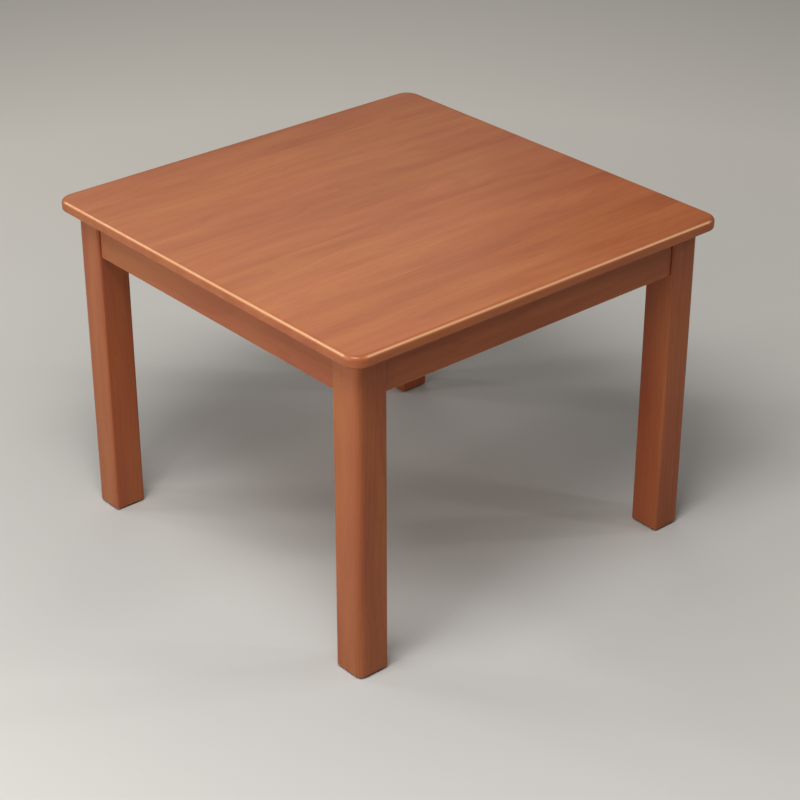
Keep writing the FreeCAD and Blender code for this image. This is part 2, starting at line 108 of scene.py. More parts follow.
def linear(colour: str) -> tuple[float, float, float, float]:
    """Turn an sRGB hex colour into the linear colour that shaders use.

    Args:
        colour: six hex digits after a hash sign.

    Returns:
        Linear red, green and blue, and an alpha of one.
    """
    parts = [int(colour[place : place + 2], 16) / 255 for place in (1, 3, 5)]
    red, green, blue = (
        part / 12.92 if part <= 0.04045 else ((part + 0.055) / 1.055) ** 2.4 for part in parts
    )
    return red, green, blue, 1.0


def add_node(
    tree: bpy.types.NodeTree,
    kind: str,
    inputs: dict[str | int, Any] | None = None,
    stops: list[tuple[float, str]] | None = None,
    **settings: Any,
) -> bpy.types.Node:
    """Add a shader node with its settings, its constants and the links into it.

    Args:
        tree: the node tree of the material or world.
        kind: the node's type, without the word that all shader node types start with.
        inputs: a constant, or the output socket to link, for each input by name or place.
        stops: place and hex colour of each stop, for a colour ramp.
        **settings: the node's own properties.

    Returns:
        The new node.
    """
    node = tree.nodes.new("ShaderNode" + kind)
    for name, value in settings.items():
        setattr(node, name, value)
    for socket, value in (inputs or {}).items():
        if isinstance(value, bpy.types.NodeSocket):
            tree.links.new(value, node.inputs[socket])
        else:
            node.inputs[socket].default_value = value
    for place, (position, colour) in enumerate(stops or []):
        elements = node.color_ramp.elements
        stop = elements[place] if place < len(elements) else elements.new(position)
        stop.position = position
        stop.color = linear(colour)
    return node


def new_material(name: str) -> tuple[bpy.types.Material, bpy.types.NodeTree]:
    """Make an empty node material.

    Args:
        name: the real material and how its surface was made.

    Returns:
        The material and its node tree.
    """
    material = bpy.data.materials.new(name)
    material.use_nodes = True
    material.node_tree.nodes.clear()
    return material, material.node_tree


def quarter_arc(steps: int) -> np.ndarray:
    """Give the angles of a quarter turn, from 0 to 90 degrees in equal steps."""
    return np.linspace(0.0, math.pi / 2, steps + 1)


def solid_from_rings(
    name: str, rings: np.ndarray, rub: np.ndarray, hollow: bool = False
) -> bpy.types.Object:
    """Skin one or more stacks of closed rings.

    Point (i, j) is point j of ring i. Each face joins points j and j + 1 of rings i and i + 1. The first and
    last rings are the end faces, or join each other in a hollow stack. Rings run anticlockwise as seen from
    the end of the stack, so faces point outwards. Points that fall together become one.

    Args:
        name: the name of the piece.
        rings: places in millimetres, shaped rings x points x 3, or stacks x rings x points x 3.
        rub: how far the stain is worn through at each point, and painted highlight on the
        arrises, 0 to 1, shaped as the places.
        hollow: whether the last ring joins the first.

    Returns:
        The object, at the origin, with its place in its mesh.
    """
    count, points = rings.shape[-3:-1]
    stacks = points * count * np.arange(rings.size // (3 * points * count))[:, None, None]
    row = np.arange(count if hollow else count - 1)[:, None]
    first = np.arange(points)
    after = np.roll(first, -1)
    start, follow = stacks + points * row, stacks + points * ((row + 1) % count)
    quads = np.stack([start + first, start + after, follow + after, follow + first], axis=-1)
    caps = np.concatenate([stacks[:, 0] + first[::-1], stacks[:, 0] + points * (count - 1) + first])
    faces = quads.reshape(-1, 4).tolist() + ([] if hollow else caps.tolist())
    mesh = bpy.data.meshes.new(name)
    mesh.from_pydata((rings.reshape(-1, 3) * MM).tolist(), [], faces)
    # Stain worn through on the arrises, and a painted highlight there, as a point attribute.
    layer = mesh.attributes.new("rub", "FLOAT", "POINT")
    layer.data.foreach_set("value", rub.astype(np.float32).ravel())
    shell = bmesh.new()
    shell.from_mesh(mesh)
    bmesh.ops.remove_doubles(shell, verts=shell.verts, dist=SAME_POINT)
    bmesh.ops.dissolve_degenerate(shell, edges=shell.edges, dist=SAME_POINT)
    shell.to_mesh(mesh)
    shell.free()
    mesh.polygons.foreach_set("use_smooth", np.ones(len(mesh.polygons), bool))
    mesh.set_sharp_from_angle(angle=SHARP_TURN)
    piece = bpy.data.objects.new(name, mesh)
    bpy.context.scene.collection.objects.link(piece)
    return piece


def fit_piece(piece: bpy.types.Object, material: bpy.types.Material, slot: str, *nodes: str) -> None:
    """Dress a new piece, let it ride on the table and take the place of its CAD nodes.

    Args:
        piece: the new piece.
        material: its finish.
        slot: the record's material slot; not used.
        *nodes: the CAD nodes that it stands for.
    """
    piece.data.materials.append(material)
    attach(piece, BODY)
    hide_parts(*nodes)
    log.info("%s: %d faces, %s", piece.name, len(piece.data.polygons), material.name)


def ramp_stops(colours: tuple[str, ...]) -> list[tuple[float, str]]:
    """Spread the shades of a finish over a ramp, with the two ends first, as a new ramp has two stops.

    Args:
        colours: hex colours from dark to light, one for each of the shade places.

    Returns:
        Place and colour of each stop.
    """
    pairs = list(zip(SHADE_PLACES, colours))
    return [pairs[0], pairs[-1], *pairs[1:-1]]


@dataclass(frozen=True)
class Mark:
    """One kind of mark in wood: its millimetres along and across the grain, and how finely it breaks up."""

    along: float
    across: float
    detail: float = 0.0
    roughness: float = 0.6


# Real fibres and pores are a fraction of a millimetre wide. Both are drawn about five times coarser, so
# that a picture of the whole table can hold them.
BANDS = Mark(700.0, 70.0, 2.0)
PATCHES = Mark(380.0, 55.0, 1.0)
STREAKS = Mark(130.0, 5.0, 3.0)
FIBRES = Mark(28.0, 1.4, 2.0)
BENDS = Mark(520.0, 130.0, 2.0, 0.5)
PORES = Mark(11.0, 1.6)
# Darkness over one year: pale early wood, then late wood that deepens and ends sharply.
RING_STOPS = [(0.0, "#000000"), (1.0, "#000000"), (0.55, "#303030"), (0.86, "#E0E0E0")]


@dataclass(frozen=True)
class WoodFinish:
    """Timber with growth rings, streaks, fibres and pores, under whatever the maker put on it.

    The eye sees long soft bands of tone, fine wavy lines a few millimetres apart and short dark pore
    marks, all along the grain, and rings and dots on the ends.
    """

    name: str
    warm: tuple[str, str, str, str]
    cool: tuple[str, str, str, str]
    # The pale colour put on the crests of edges: stain worn through, and also a painted highlight.
    rubbed: str
    rub_through: float
    roughness: tuple[float, float]
    specular: float
    coat: float
    coat_roughness: float = 0.2
    rub_narrowing: float = 7.0
    ring_mm: float = 6.5
    ring_bend_mm: float = 50.0
    ring_wobble: float = 0.9
    ring_depth: float = 0.14
    band_depth: float = 0.58
    streak_depth: float = 0.30
    fibre_depth: float = 0.20
    pore_depth: float = 0.12
    pore_edge: tuple[float, float] = (0.12, 0.34)
    patch_edge: tuple[float, float] = (0.25, 0.75)
    pore_dullness: float = 0.6
    dull_edge: tuple[float, float] = (0.3, 1.0)
    pore_sink: float = 0.8
    fibre_rise: float = 0.25
    streak_rise: float = 0.3
    bump: float = 0.25
    bump_mm: float = 0.2

    def make(self, piece: str, grain: GrainAxis, cut: Sequence[float], tone: float) -> bpy.types.Material:
        """Make the finish for one piece, cut from its own place in a log.

        Distance from the heart of the log, bent by slow noise, gives the rings. Noise drawn out along the
        grain gives bands, streaks and fibres, and drawn-out cells give pores. Their weighted sum picks the
        colour.

        Args:
            piece: the name of the piece.
            grain: the way its grain runs.
            cut: where in the log it was cut, in millimetres along, across and deep.
            tone: how much lighter or darker the piece is than its neighbours.

        Returns:
            The material.
        """
        material, tree = new_material(f"{self.name}_{piece}")
        place = add_node(tree, "TexCoord").outputs["Object"]
        cut_place = [step * MM for step in cut]
        log_place = add_node(
            tree, "Mapping", {"Vector": place, "Rotation": grain.value, "Location": cut_place}
        ).outputs[0]

        def drawn_out(mark: Mark) -> bpy.types.NodeSocket:
            """Scale the place in the log so that one unit is the size of a mark."""
            size = (1 / (mark.along * MM), 1 / (mark.across * MM), 1 / (mark.across * MM))
            return add_node(tree, "VectorMath", {0: log_place, 1: size}, operation="MULTIPLY").outputs[0]

        def noise(mark: Mark, output: str = "Fac") -> bpy.types.NodeSocket:
            """Noise with marks of the given size."""
            settings = {"Scale": 1.0, "Detail": mark.detail, "Roughness": mark.roughness}
            return add_node(tree, "TexNoise", {"Vector": drawn_out(mark), **settings}).outputs[output]

        def sum_up(value: Any, factor: float, base: Any) -> bpy.types.NodeSocket:
            """Value times factor plus base."""
            settings = {0: value, 1: factor, 2: base}
            return add_node(tree, "Math", settings, operation="MULTIPLY_ADD").outputs[0]

        def mixed(share: bpy.types.NodeSocket, first: Any, second: Any) -> bpy.types.NodeSocket:
            """Two colours, mixed by the share of the second."""
            settings = {"Factor": share, 6: first, 7: second}
            return add_node(tree, "Mix", settings, data_type="RGBA").outputs[2]

        bands, patches, streaks, fibres = (noise(mark) for mark in (BANDS, PATCHES, STREAKS, FIBRES))
        half, bend_reach = (0.5,) * 3, (self.ring_bend_mm * MM,) * 3
        bend = noise(BENDS, "Color")
        centred = add_node(tree, "VectorMath", {0: bend, 1: half}, operation="SUBTRACT").outputs[0]
        bent = add_node(
            tree, "VectorMath", {0: centred, 1: bend_reach, 2: log_place}, operation="MULTIPLY_ADD"
        ).outputs[0]
        across = add_node(tree, "VectorMath", {0: bent, 1: (0.0, 1.0, 1.0)}, operation="MULTIPLY").outputs[0]
        radius = add_node(tree, "VectorMath", {0: across}, operation="LENGTH").outputs["Value"]
        ring_count = sum_up(radius, 1 / (self.ring_mm * MM), sum_up(streaks, self.ring_wobble, 0.0))
        ring = add_node(tree, "Math", {0: ring_count}, operation="FRACT").outputs[0]
        late_wood = add_node(tree, "ValToRGB", {"Fac": ring}, RING_STOPS).outputs["Color"]
        cells = add_node(
            tree, "TexVoronoi", {"Vector": drawn_out(PORES), "Scale": 1.0, "Randomness": 1.0}
        ).outputs["Distance"]
        core, rim = self.pore_edge
        pores = add_node(
            tree,
            "MapRange",
            {"Value": cells, "From Min": core, "From Max": rim, "To Min": 1.0, "To Max": 0.0},
            interpolation_type="SMOOTHSTEP",
        ).outputs["Result"]

        # Noise is 0.5 on average, so half of each depth is taken off to keep the middle shade.
        middle = 0.5 + tone - 0.5 * (self.band_depth + self.streak_depth + self.fibre_depth)
        shade = sum_up(bands, self.band_depth, middle)
        shade = sum_up(streaks, self.streak_depth, shade)
        shade = sum_up(fibres, self.fibre_depth, shade)
        shade = sum_up(late_wood, -self.ring_depth, shade)
        shade = sum_up(pores, -self.pore_depth, shade)
        warm, cool = (
            add_node(tree, "ValToRGB", {"Fac": shade}, ramp_stops(colours)).outputs["Color"]
            for colours in (self.warm, self.cool)
        )
        low, high = self.patch_edge
        side = add_node(tree, "MapRange", {"Value": patches, "From Min": low, "From Max": high})
        stained = mixed(side.outputs["Result"], warm, cool)
        # The pale line on the crest of each edge is stain worn through and also a painted highlight.
        # A high power keeps it to the crest.
        rub = add_node(tree, "Attribute", attribute_name="rub").outputs["Fac"]
        bare_and_highlight = add_node(tree, "Math", {0: rub, 1: self.rub_narrowing}, operation="POWER").outputs[0]
        colour = mixed(sum_up(bare_and_highlight, self.rub_through, 0.0), stained, linear(self.rubbed))
        # Pores and dark streaks are duller. Pores sink in, and fibres and streaks stand out a little.
        gloss = add_node(
            tree,
            "MapRange",
            {
                "Value": sum_up(pores, self.pore_dullness, streaks),
                "From Min": self.dull_edge[0],
                "From Max": self.dull_edge[1],
                "To Min": self.roughness[0],
                "To Max": self.roughness[1],
            },
        ).outputs["Result"]
        raised = sum_up(fibres, self.fibre_rise, sum_up(streaks, self.streak_rise, 0.0))
        height = sum_up(pores, -self.pore_sink, raised)
        bump = add_node(
            tree, "Bump", {"Height": height, "Strength": self.bump, "Distance": self.bump_mm * MM}
        ).outputs[0]
        shader = add_node(
            tree,
            "BsdfPrincipled",
            {
                "Base Color": colour,
                "Roughness": gloss,
                "Normal": bump,
                "Specular IOR Level": self.specular,
                "Coat Weight": self.coat,
                "Coat Roughness": self.coat_roughness,
            },
        )
        add_node(tree, "OutputMaterial", {"Surface": shader.outputs[0]})
        return material


# Rubberwood, sanded, stained reddish brown and sprayed with satin lacquer: warm, even colour that the
# stain keeps close in tone, pores a little darker, and a soft blurred reflection.
STAINED = WoodFinish(
    name="stained_rubberwood_satin_lacquer",
    warm=("#8E5738", "#A96B47", "#B67651", "#C4835E"),
    cool=("#834A36", "#9D5D44", "#AA664C", "#B8755B"),
    # A pale line on the crests of the edges: stain worn through, and also a painted highlight.
    rubbed="#F0C4A0",
    rub_through=0.62,
    roughness=(0.36, 0.50),
    specular=0.06,
    coat=0.45,
    coat_roughness=0.22,
)
# The same timber planed and left bare inside the frame: pale tan, matt, with clear pore marks.
PLANED = WoodFinish(
    name="bare_rubberwood_planed",
    warm=("#8F6A45", "#B98F63", "#CFA97C", "#DDBD92"),
    cool=("#8A6442", "#B0875F", "#C6A078", "#D6B48C"),
    rubbed="#DDBD92",
    rub_through=0.2,
    roughness=(0.55, 0.75),
    specular=0.4,
    coat=0.0,
    bump=0.4,
)


@dataclass(frozen=True)
class Stock:
    """Timber for one kind of piece: spans of the places in a log, in millimetres, and of the tone."""

    seed: int
    across: tuple[float, float]
    deep: tuple[float, float]
    tone: tuple[float, float]
    along: tuple[float, float] = (-4000.0, 4000.0)

    def cuts(self) -> Iterator[tuple[np.ndarray, float]]:
        """Draw the cut of one piece after another, with the same draws on each run.

        Yields:
            Place along, across and deep in the log, and how much lighter or darker the piece is.
        """
        chance = np.random.default_rng(self.seed)
        while True:
            place = [chance.uniform(*span) for span in (self.along, self.across, self.deep)]
            yield np.array(place), float(chance.uniform(*self.tone))


@dataclass(frozen=True)
class PlatedSteel:
    """Steel wire or strip, formed and electroplated: bright, slightly cloudy metal with a fine grit."""

    name: str
    light: str
    dark: str
    roughness: tuple[float, float]
    clouds_per_metre: float = 250.0
    grit_per_metre: float = 1600.0
    bump: float = 0.08
    bump_mm: float = 0.1

    def make(self) -> bpy.types.Material:
        """Make the finish once. Clouds of two tones, 4 mm wide, and 0.6 mm grit vary colour and gloss.

        Returns:
            The material, or the one that was already made.
        """
        made = bpy.data.materials.get(self.name)
        if made:
            return made
        material, tree = new_material(self.name)
        place = add_node(tree, "TexCoord").outputs["Object"]
        clouds = add_node(
            tree, "TexNoise", {"Vector": place, "Scale": self.clouds_per_metre, "Detail": 3.0}
        ).outputs["Fac"]
        grit = add_node(
            tree, "TexNoise", {"Vector": place, "Scale": self.grit_per_metre, "Detail": 1.0}
        ).outputs["Fac"]
        shades = list(zip(CLOUD_PLACES, (self.dark, self.light)))
        colour = add_node(tree, "ValToRGB", {"Fac": clouds}, shades)
        gloss = add_node(
            tree, "MapRange", {"Value": grit, "To Min": self.roughness[0], "To Max": self.roughness[1]}
        ).outputs["Result"]
        bump = add_node(
            tree, "Bump", {"Height": grit, "Strength": self.bump, "Distance": self.bump_mm * MM}
        ).outputs[0]
        shader = add_node(
            tree,
            "BsdfPrincipled",
            {"Base Color": colour.outputs["Color"], "Roughness": gloss, "Normal": bump, "Metallic": 1.0},
        )
        add_node(tree, "OutputMaterial", {"Surface": shader.outputs[0]})
        return material


# Clear zinc plate on wire and strip: cool bright grey, a little cloudy.
CLEAR_ZINC = PlatedSteel("steel_clear_zinc_plated", "#C9CBCC", "#A4A7AA", (0.28, 0.45))
# Yellow passivated zinc on wood screws: pale gold with darker clouds.
YELLOW_ZINC = PlatedSteel("steel_yellow_zinc_plated", "#CDB56F", "#A88A45", (0.26, 0.42))


@dataclass(frozen=True)
class MouldedPlastic:
    """Polyethylene, injection moulded in brown: dull, with a fine even spark texture."""

    name: str
    light: str
    dark: str
    roughness: float
    clouds_per_metre: float = 120.0
    sparks_per_metre: float = 1250.0
    bump: float = 0.3
    bump_mm: float = 0.1

    def make(self) -> bpy.types.Material:
        """Make the finish. Spark texture 0.8 mm wide gives bump, and 8 mm clouds vary the colour.

        Returns:
            The material.
        """
        material, tree = new_material(self.name)
        place = add_node(tree, "TexCoord").outputs["Object"]
        clouds = add_node(
            tree, "TexNoise", {"Vector": place, "Scale": self.clouds_per_metre, "Detail": 2.0}
        ).outputs["Fac"]
        spark = add_node(
            tree, "TexNoise", {"Vector": place, "Scale": self.sparks_per_metre, "Detail": 1.0}
        ).outputs["Fac"]
        shades = list(zip(CLOUD_PLACES, (self.dark, self.light)))
        colour = add_node(tree, "ValToRGB", {"Fac": clouds}, shades)
        bump = add_node(
            tree, "Bump", {"Height": spark, "Strength": self.bump, "Distance": self.bump_mm * MM}
        ).outputs[0]
        shader = add_node(
            tree,
            "BsdfPrincipled",
            {"Base Color": colour.outputs["Color"], "Roughness": self.roughness, "Normal": bump},
        )
        add_node(tree, "OutputMaterial", {"Surface": shader.outputs[0]})
        return material


# Brown polyethylene under the feet: dark, dull and even.
GLIDE_PLASTIC = MouldedPlastic("polyethylene_moulded_brown", "#3A2A22", "#2E2019", 0.5)


@dataclass
class Tabletop:
    """The nine glued boards of the top, with one rounded edge that runs round all of them."""

    side: float = 1000.0
    underside: float = 725.0
    height: float = 750.0
    corner_radius: float = 36.0
    upper_radius: float = 10.0
    lower_radius: float = 5.0
    boards: int = 9
    land: float = 2.0
    upright_land: float = 1.0
    lower_rub: float = 0.2
    # How much the painted highlight on the upper arris fades round a corner.
    corner_highlight_fade: float = 0.4
    arc_steps: int = 12
    stock: Stock = Stock(11, (-60.0, 60.0), (90.0, 220.0), (-0.05, 0.05))

    def edge_profile(self) -> tuple[np.ndarray, np.ndarray, np.ndarray]:
        """Draw the moulded edge from the underside to the upper face.

        A quarter circle of the lower radius, a short upright and a quarter circle of the upper radius, with
        a narrow flat land at both ends so that the faces next to it stay flat to the eye.

        Returns:
            Inset from the outline, height, and the worn stain and painted highlight of each point.
        """
        turn = quarter_arc(self.arc_steps)
        low, high = self.lower_radius, self.upper_radius
        thickness = self.height - self.underside
        inset = np.concatenate(
            [
                [low + self.land],
                low - low * np.sin(turn),
                [0.0, 0.0],
                high - high * np.cos(turn),
                [high + self.land],
            ]
        )
        level = np.concatenate(
            [
                [0.0],
                low - low * np.cos(turn),
                [low + self.upright_land, thickness - high - self.upright_land],
                thickness - high + high * np.sin(turn),
                [thickness],
            ]
        )
        # Hands and cloths wear the upper arris, and hardly the lower one. The pale line on the upper arris
        # is also a painted highlight.
        bow = np.sin(2 * turn)
        rub = np.concatenate([[0.0], self.lower_rub * bow, [0.0, 0.0], bow, [0.0]])
        return inset, self.underside + level, rub

    def outline(self, board: int, inset: np.ndarray) -> np.ndarray:
        """Draw the plan of a board, moved in by each inset.

        The plan of the whole top is a square with round corners. A middle board is the strip between its
        two joints. An outer board also has two corner arcs, about centres that the inset doesn't move.

        Args:
            board: number of the board from the front, from 0.
            inset: how far the edge is moved in, for each ring.

        Returns:
            X and Y of the points, shaped rings x points x 2.
        """
        half = self.side / 2
        width = self.side / self.boards
        reach = (half - inset)[:, None]
        low, high = -half + width * board, -half + width * (board + 1)
        if 0 < board < self.boards - 1:
            x = reach * np.array([-1.0, 1.0, 1.0, -1.0])
            y = np.broadcast_to(np.array([low, low, high, high]), x.shape)
            return np.stack([x, y], axis=-1)
        centre = half - self.corner_radius
        radius = (self.corner_radius - inset)[:, None]
        turn = quarter_arc(self.arc_steps)
        joint = -half + width
        flat = np.ones_like(reach)
        x = np.hstack(
            [
                -reach,
                -reach,
                -centre - radius * np.cos(turn),
                flat * (self.land - centre),
                flat * (centre - self.land),
                centre + radius * np.sin(turn),
                reach,
                reach,
            ]
        )
        y = np.hstack(
            [
                flat * joint,
                flat * (self.land - centre),
                -centre - radius * np.sin(turn),
                -reach,
                -reach,
                -centre - radius * np.cos(turn),
                flat * (self.land - centre),
                flat * joint,
            ]
        )
        plan = np.stack([x, y], axis=-1)
        return plan if board == 0 else -plan

    def kept_rub(self, board: int) -> np.ndarray:
        """Say how much of the worn line and painted highlight each point of a board's plan keeps.

        All of it on the straight edges. Round a corner, where the painted highlight fades, one less the
        corner highlight fade times the sine of twice the turn.

        Args:
            board: number of the board from the front, from 0.

        Returns:
            A share from 0 to 1 for each point of the plan.
        """
        if 0 < board < self.boards - 1:
            return np.ones(4)
        arc = 1 - self.corner_highlight_fade * np.sin(2 * quarter_arc(self.arc_steps))
        return np.concatenate([[1, 1], arc, [1, 1], arc, [1, 1]])

    def build(self) -> None:
        """Carry the edge profile round each board and dress the boards, each from its own log."""
        inset, level, rub = self.edge_profile()
        for board, (cut, tone) in zip(range(self.boards), self.stock.cuts()):
            plan = self.outline(board, inset)
            height = np.broadcast_to(level[:, None, None], (*plan.shape[:2], 1))
            name = f"top_board_{board + 1}"
            piece = solid_from_rings(
                f"{name}_shaped",
                np.concatenate([plan, height], axis=-1),
                rub[:, None] * self.kept_rub(board),
            )
            middle = self.side / self.boards * (board + 0.5) - self.side / 2
            cut -= np.array([0.0, middle, self.height])
            fit_piece(piece, STAINED.make(name, GrainAxis.ALONG_X, cut, tone), "top_wood", name)


@dataclass
class Legs:
    """The four square legs, well rounded at the outer corner, with eased feet and a flat for the bolts."""

    width: float = 75.0
    middle: float = 430.5
    foot: float = 3.0
    top: float = 725.0
    ledge: float = 633.0
    corner_radius: float = 16.0
    arris: float = 6.0
    foot_radius: float = 4.0
    flat_sum: float = 51.0
    land: float = 1.5
    # Worn lines on the arrises, the outer corner and the foot, which are also a painted highlight.
    arris_rub: float = 0.5
    corner_rub: float = 0.2
    arc_steps: int = 12
    stock: Stock = Stock(23, (80.0, 200.0), (40.0, 140.0), (-0.05, 0.03))

    def outline(self, inset: np.ndarray, bolted: np.ndarray) -> tuple[np.ndarray, np.ndarray]:
        """Draw the section of a leg, with local X and Y pointing into the table.

        A square with four quarter circles about fixed centres, moved in by each inset. The outer corner has
        the large radius. In the bolted rings the arc of the inner arris is replaced by a straight line from
        side to side.

        Args:
            inset: how far the outline is moved in, for each ring.
            bolted: whether each ring has the flat.

        Returns:
            Local X and Y shaped rings x points x 2, and the worn stain and painted highlight of the points
            of one ring.
        """
        half = self.width / 2
        start = self.flat_sum - half
        turn = quarter_arc(self.arc_steps)
        reach = (half - inset)[:, None]
        one = np.ones_like(reach)

        def corner(radius: float) -> tuple[np.ndarray, np.ndarray, np.ndarray]:
            """Draw the arc of a corner.

            Args:
                radius: the corner's radius before the inset.

            Returns:
                X and Y of the arc in each ring, and a place on the flat just before it.
            """
            swept = (radius - inset)[:, None]
            middle = half - radius
            return middle + swept * np.cos(turn), middle + swept * np.sin(turn), one * (middle - self.land)

        arc_x, arc_y, near = corner(self.arris)
        outer_x, outer_y, outer_near = corner(self.corner_radius)
        along = np.linspace(0.0, 1.0, turn.size + 2)
        chosen = bolted[:, None]
        inner_x = np.where(chosen, reach + along * (start - reach), np.hstack([reach, arc_x, near]))
        inner_y = np.where(chosen, start + along * (reach - start), np.hstack([near, arc_y, reach]))
        x = np.hstack([reach, inner_x, one * start, -near, -arc_y, -reach, -reach, -outer_x, -outer_near])
        y = np.hstack([one * start, inner_y, reach, reach, arc_x, near, -outer_near, -outer_y, -reach])
        x = np.hstack([x, near, arc_y, reach])
        y = np.hstack([y, -reach, -arc_x, -near])
        # The wide outer corner wears less than the tight arrises. The worn lines are also a painted
        # highlight.
        bow = np.sin(2 * turn)
        arris, outer = self.arris_rub * bow, self.corner_rub * bow
        rub = np.concatenate([[0, 0], arris, [0, 0, 0], arris, [0, 0], outer, [0, 0], arris, [0]])
        return np.stack([x, y], axis=-1), rub

    def build(self) -> None:
        """Stack the sections from the foot to the top, turn the stack into each corner and dress it."""
        turn = quarter_arc(self.arc_steps // 2)
        inset = np.concatenate(
            [
                [self.foot_radius + self.land],
                self.foot_radius * (1 - np.sin(turn)),
                [0.0, 0.0, 0.0, 0.0],
            ]
        )
        level = np.concatenate(
            [
                [self.foot],
                self.foot + self.foot_radius * (1 - np.cos(turn)),
                [self.foot + self.foot_radius + self.land, self.ledge, self.ledge, self.top],
            ]
        )
        bolted = np.arange(level.size) >= level.size - 2
        section, rub = self.outline(inset, bolted)
        foot_rub_and_highlight = np.concatenate([[0.0], np.sin(2 * turn), np.zeros(4)])
        all_rub_and_highlight = np.maximum(np.broadcast_to(rub, section.shape[:2]), foot_rub_and_highlight[:, None])
        for corner, (cut, tone) in zip(Corner, self.stock.cuts()):
            sign = np.array(corner.value, float)
            plan = sign * (self.middle - section)
            rings = np.concatenate(
                [plan, np.broadcast_to(level[:, None, None], (*plan.shape[:2], 1))], axis=-1
            )
            turned = sign.prod() < 0
            name = f"leg_{corner.node_end}"
            piece = solid_from_rings(
                f"{name}_shaped",
                rings[:, ::-1] if turned else rings,
                all_rub_and_highlight[:, ::-1] if turned else all_rub_and_highlight,
            )
            cut += self.middle * np.array([0.0, -sign[1], sign[0]])
            fit_piece(piece, STAINED.make(name, GrainAxis.UPRIGHT, cut, tone), "leg_wood", name)


@dataclass
class Aprons:
    """The four aprons between the legs, with eased edges and a slot behind for the clips of the top."""

    length: float = 786.0
    outer: float = 462.0
    thickness: float = 22.0
    bottom: float = 633.0
    top: float = 725.0
    edge_radius: float = 3.0
    slot_depth: float = 8.0
    slot_low: float = 710.0
    slot_high: float = 713.0
    land: float = 1.5
    arc_steps: int = 8
    stock: Stock = Stock(37, (60.0, 160.0), (20.0, 120.0), (-0.04, 0.04))

    def build(self) -> None:
        """Carry the section along each side, with the outer face drawn in round the ends, and dress it.

        The section is a board on edge with both lower edges rounded by quarter circles and a slot in its
        inner face. Near an end the outer face moves in along a quarter circle.
        """
        radius = self.edge_radius
        turn = quarter_arc(self.arc_steps)
        end = np.concatenate([radius * (1 - np.cos(turn)), [radius + self.land]])
        inward = np.concatenate([radius * (1 - np.sin(turn)), [0.0]])
        along = np.concatenate([end, self.length - end[::-1]]) - self.length / 2
        drawn_in = np.concatenate([inward, inward[::-1]])[:, None]
        back = self.thickness
        deep = back - self.slot_depth
        outer_depth = np.concatenate([[0.0, 0.0], radius * (1 - np.cos(turn)), [radius + self.land]])
        outer_level = np.concatenate(
            [
                [self.top, self.bottom + radius + self.land],
                self.bottom + radius * (1 - np.sin(turn)),
                [self.bottom],
            ]
        )
        inner_depth = np.concatenate(
            [
                [back - radius - self.land],
                back - radius * (1 - np.sin(turn)),
                [back, back, deep, deep, back, back],
            ]
        )
        inner_level = np.concatenate(
            [
                [self.bottom],
                self.bottom + radius * (1 - np.cos(turn)),
                [
                    self.bottom + radius + self.land,
                    self.slot_low,
                    self.slot_low,
                    self.slot_high,
                    self.slot_high,
                    self.top,
                ],
            ]
        )
        count = along.size
        depth = np.hstack([outer_depth + drawn_in, np.broadcast_to(inner_depth, (count, inner_depth.size))])
        level = np.broadcast_to(np.concatenate([outer_level, inner_level]), depth.shape)
        # Worn lines on the rounded edges and ends, which are also a painted highlight.
        bow = np.sin(2 * turn)
        section_rub_and_highlight = np.concatenate([[0, 0], bow, [0, 0], bow, np.zeros(6)])
        end_rub_and_highlight = np.concatenate([bow, [0.0, 0.0], bow[::-1]])[:, None] * (np.arange(depth.shape[1]) < 2)
        rub = np.maximum(np.broadcast_to(section_rub_and_highlight, depth.shape), end_rub_and_highlight)
        x = np.broadcast_to(along[:, None], depth.shape)
        rings = np.stack([x, depth - self.outer, level], axis=-1)
        for side, (cut, tone) in zip(Side, self.stock.cuts()):
            angle = side.value * math.pi / 2
            cosine, sine = round(math.cos(angle)), round(math.sin(angle))
            spin = np.array([[cosine, sine, 0.0], [-sine, cosine, 0.0], [0.0, 0.0, 1.0]])
            name = f"apron_{side.node_end}"
            piece = solid_from_rings(f"{name}_shaped", rings @ spin, rub)
            cut -= np.array([0.0, 0.0, self.top])
            fit_piece(piece, STAINED.make(name, side.grain, cut, tone), "apron_wood", name)


